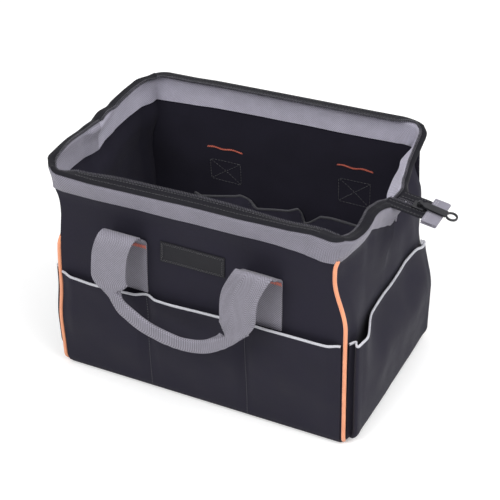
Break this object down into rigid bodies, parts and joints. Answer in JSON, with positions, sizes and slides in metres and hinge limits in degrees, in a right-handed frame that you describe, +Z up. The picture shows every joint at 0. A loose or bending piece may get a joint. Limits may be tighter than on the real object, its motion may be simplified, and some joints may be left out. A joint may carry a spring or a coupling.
{
  "type": "wide mouth tool bag",
  "caption": "Open-topped box tool bag of heavy cloth with a hinged tube frame in its mouth, corner piping, outer and inner pockets, two webbing handles and a zipper tail.",
  "frame": {"origin": "centre of the base's underside, where the bag stands", "axes": "+X along the bag towards the zipper tail, -Y out of the front with the name patch, +Z up"},
  "size_m": [0.4083, 0.2808, 0.2648],
  "materials": {
    "base_panel": "matte woven cloth",
    "base_board": "matte",
    "lower_front_panel": "matte woven cloth",
    "upper_front_panel": "matte woven cloth",
    "front_casing": "ribbed webbing",
    "front_zipper_tape": "woven tape",
    "front_pocket": "matte woven cloth",
    "front_pocket_binding": "grosgrain",
    "front_frame_tube": "satin",
    "front_handle": "ribbed webbing",
    "front_strap_left": "ribbed webbing",
    "front_strap_right": "ribbed webbing",
    "lower_rear_panel": "matte woven cloth",
    "upper_rear_panel": "matte woven cloth",
    "rear_casing": "ribbed webbing",
    "rear_zipper_tape": "woven tape",
    "rear_pocket": "matte woven cloth",
    "rear_pocket_binding": "grosgrain",
    "rear_frame_tube": "satin",
    "rear_handle": "ribbed webbing",
    "rear_strap_left": "ribbed webbing",
    "rear_strap_right": "ribbed webbing",
    "lower_piping_front_left": "corded piping",
    "upper_piping_front_left": "corded piping",
    "leg_casing_front_left": "ribbed webbing",
    "leg_tape_front_left": "woven tape",
    "lower_piping_front_right": "corded piping",
    "upper_piping_front_right": "corded piping",
    "leg_casing_front_right": "ribbed webbing",
    "leg_tape_front_right": "woven tape",
    "lower_piping_rear_left": "corded piping",
    "upper_piping_rear_left": "corded piping",
    "leg_casing_rear_left": "ribbed webbing",
    "leg_tape_rear_left": "woven tape",
    "lower_piping_rear_right": "corded piping",
    "upper_piping_rear_right": "corded piping",
    "leg_casing_rear_right": "ribbed webbing",
    "leg_tape_rear_right": "woven tape",
    "lower_left_end_panel": "matte woven cloth",
    "left_end_gusset": "matte woven cloth",
    "left_end_pocket": "matte woven cloth",
    "left_end_pocket_binding": "grosgrain",
    "rivet_head_left": "satin",
    "rivet_tail_left": "satin",
    "lower_right_end_panel": "matte woven cloth",
    "right_end_gusset": "matte woven cloth",
    "right_end_pocket": "matte woven cloth",
    "right_end_pocket_binding": "grosgrain",
    "rivet_head_right": "satin",
    "rivet_tail_right": "satin",
    "inner_rear_pocket": "matte cloth",
    "inner_rear_pocket_binding": "grosgrain",
    "name_patch": "smooth woven patch",
    "zipper_tail_tape": "woven tape",
    "tail_end_tab": "ribbed webbing",
    "zipper_slider": "black lacquer",
    "zipper_pull": "black lacquer"
  },
  "bodies": {
    "lower_bag": {"base_panel": "base_panel", "base_board": "base_board", "lower_front_panel": "lower_front_panel", "lower_rear_panel": "lower_rear_panel", "lower_left_end_panel": "lower_left_end_panel", "lower_right_end_panel": "lower_right_end_panel", "lower_piping_front_left": "lower_piping_front_left", "lower_piping_front_right": "lower_piping_front_right", "lower_piping_rear_left": "lower_piping_rear_left", "lower_piping_rear_right": "lower_piping_rear_right", "front_pocket": "front_pocket", "front_pocket_binding": "front_pocket_binding", "rear_pocket": "rear_pocket", "rear_pocket_binding": "rear_pocket_binding", "left_end_pocket": "left_end_pocket", "left_end_pocket_binding": "left_end_pocket_binding", "left_end_gusset": "left_end_gusset", "right_end_pocket": "right_end_pocket", "right_end_pocket_binding": "right_end_pocket_binding", "right_end_gusset": "right_end_gusset", "inner_rear_pocket": "inner_rear_pocket", "inner_rear_pocket_binding": "inner_rear_pocket_binding"},
    "front_wall": {"upper_front_panel": "upper_front_panel", "front_casing": "front_casing", "front_zipper_tape": "front_zipper_tape", "upper_piping_front_left": "upper_piping_front_left", "upper_piping_front_right": "upper_piping_front_right", "front_strap_left": "front_strap_left", "front_strap_right": "front_strap_right", "name_patch": "name_patch"},
    "front_frame": {"front_frame_tube": "front_frame_tube", "leg_casing_front_left": "leg_casing_front_left", "leg_casing_front_right": "leg_casing_front_right", "leg_tape_front_left": "leg_tape_front_left", "leg_tape_front_right": "leg_tape_front_right", "rivet_head_left": "rivet_head_left", "rivet_head_right": "rivet_head_right"},
    "front_handle": {"front_handle": "front_handle"},
    "rear_wall": {"upper_rear_panel": "upper_rear_panel", "rear_casing": "rear_casing", "rear_zipper_tape": "rear_zipper_tape", "upper_piping_rear_left": "upper_piping_rear_left", "upper_piping_rear_right": "upper_piping_rear_right", "rear_strap_left": "rear_strap_left", "rear_strap_right": "rear_strap_right"},
    "rear_frame": {"rear_frame_tube": "rear_frame_tube", "leg_casing_rear_left": "leg_casing_rear_left", "leg_casing_rear_right": "leg_casing_rear_right", "leg_tape_rear_left": "leg_tape_rear_left", "leg_tape_rear_right": "leg_tape_rear_right", "rivet_tail_left": "rivet_tail_left", "rivet_tail_right": "rivet_tail_right"},
    "rear_handle": {"rear_handle": "rear_handle"},
    "zipper_tail": {"zipper_tail_tape": "zipper_tail_tape", "tail_end_tab": "tail_end_tab"},
    "slider": {"zipper_slider": "zipper_slider"},
    "pull": {"zipper_pull": "zipper_pull"}
  },
  "joints": [
    {"name": "front_wall_lean", "type": "hinge", "parent": "lower_bag", "child": "front_wall", "pos_m": [0, -0.1015, 0.1145], "axis": [-1, 0, 0], "range_deg": [0, 37.07], "deforming": ["left_end_gusset", "right_end_gusset"]},
    {"name": "front_frame_turn", "type": "hinge", "parent": "front_wall", "child": "front_frame", "pos_m": [0, -0.1015, 0.258], "axis": [-1, 0, 0], "range_deg": [0, 33.5], "deforming": ["leg_casing_front_left", "leg_casing_front_right", "leg_tape_front_left", "leg_tape_front_right"]},
    {"name": "rear_wall_lean", "type": "hinge", "parent": "lower_bag", "child": "rear_wall", "pos_m": [0, 0.1015, 0.1145], "axis": [1, 0, 0], "range_deg": [0, 37.07]},
    {"name": "rear_frame_turn", "type": "hinge", "parent": "rear_wall", "child": "rear_frame", "pos_m": [0, 0.1015, 0.258], "axis": [1, 0, 0], "range_deg": [0, 33.5], "deforming": ["leg_casing_rear_left", "leg_casing_rear_right", "leg_tape_rear_left", "leg_tape_rear_right"]},
    {"name": "zipper_tail_turn", "type": "hinge", "parent": "front_frame", "child": "zipper_tail", "pos_m": [0, 0, 0.238], "axis": [1, 0, 0], "range_deg": [0, 70.57]},
    {"name": "front_handle_swing", "type": "hinge", "parent": "front_wall", "child": "front_handle", "pos_m": [0, -0.12, 0.207], "axis": [-1, 0, 0], "range_deg": [0, 145]},
    {"name": "rear_handle_swing", "type": "hinge", "parent": "rear_wall", "child": "rear_handle", "pos_m": [0, 0.12, 0.207], "axis": [1, 0, 0], "range_deg": [0, 145]},
    {"name": "zipper_slide", "type": "slide", "parent": "zipper_tail", "child": "slider", "axis": [0.9903, 0, -0.1392], "range_m": [-0.018, 0.003]},
    {"name": "zipper_pull_flip", "type": "hinge", "parent": "slider", "child": "pull", "pos_m": [0.19505, 0, 0.24703], "axis": [0, -1, 0], "range_deg": [0, 100]}
  ],
  "couplings": [
    {"joint": "rear_wall_lean", "follows": "front_wall_lean", "ratio": 1},
    {"joint": "front_frame_turn", "follows": "front_wall_lean", "ratio": 0.90225},
    {"joint": "rear_frame_turn", "follows": "front_wall_lean", "ratio": 0.90225},
    {"joint": "zipper_tail_turn", "follows": "front_wall_lean", "ratio": 1.9022}
  ]
}
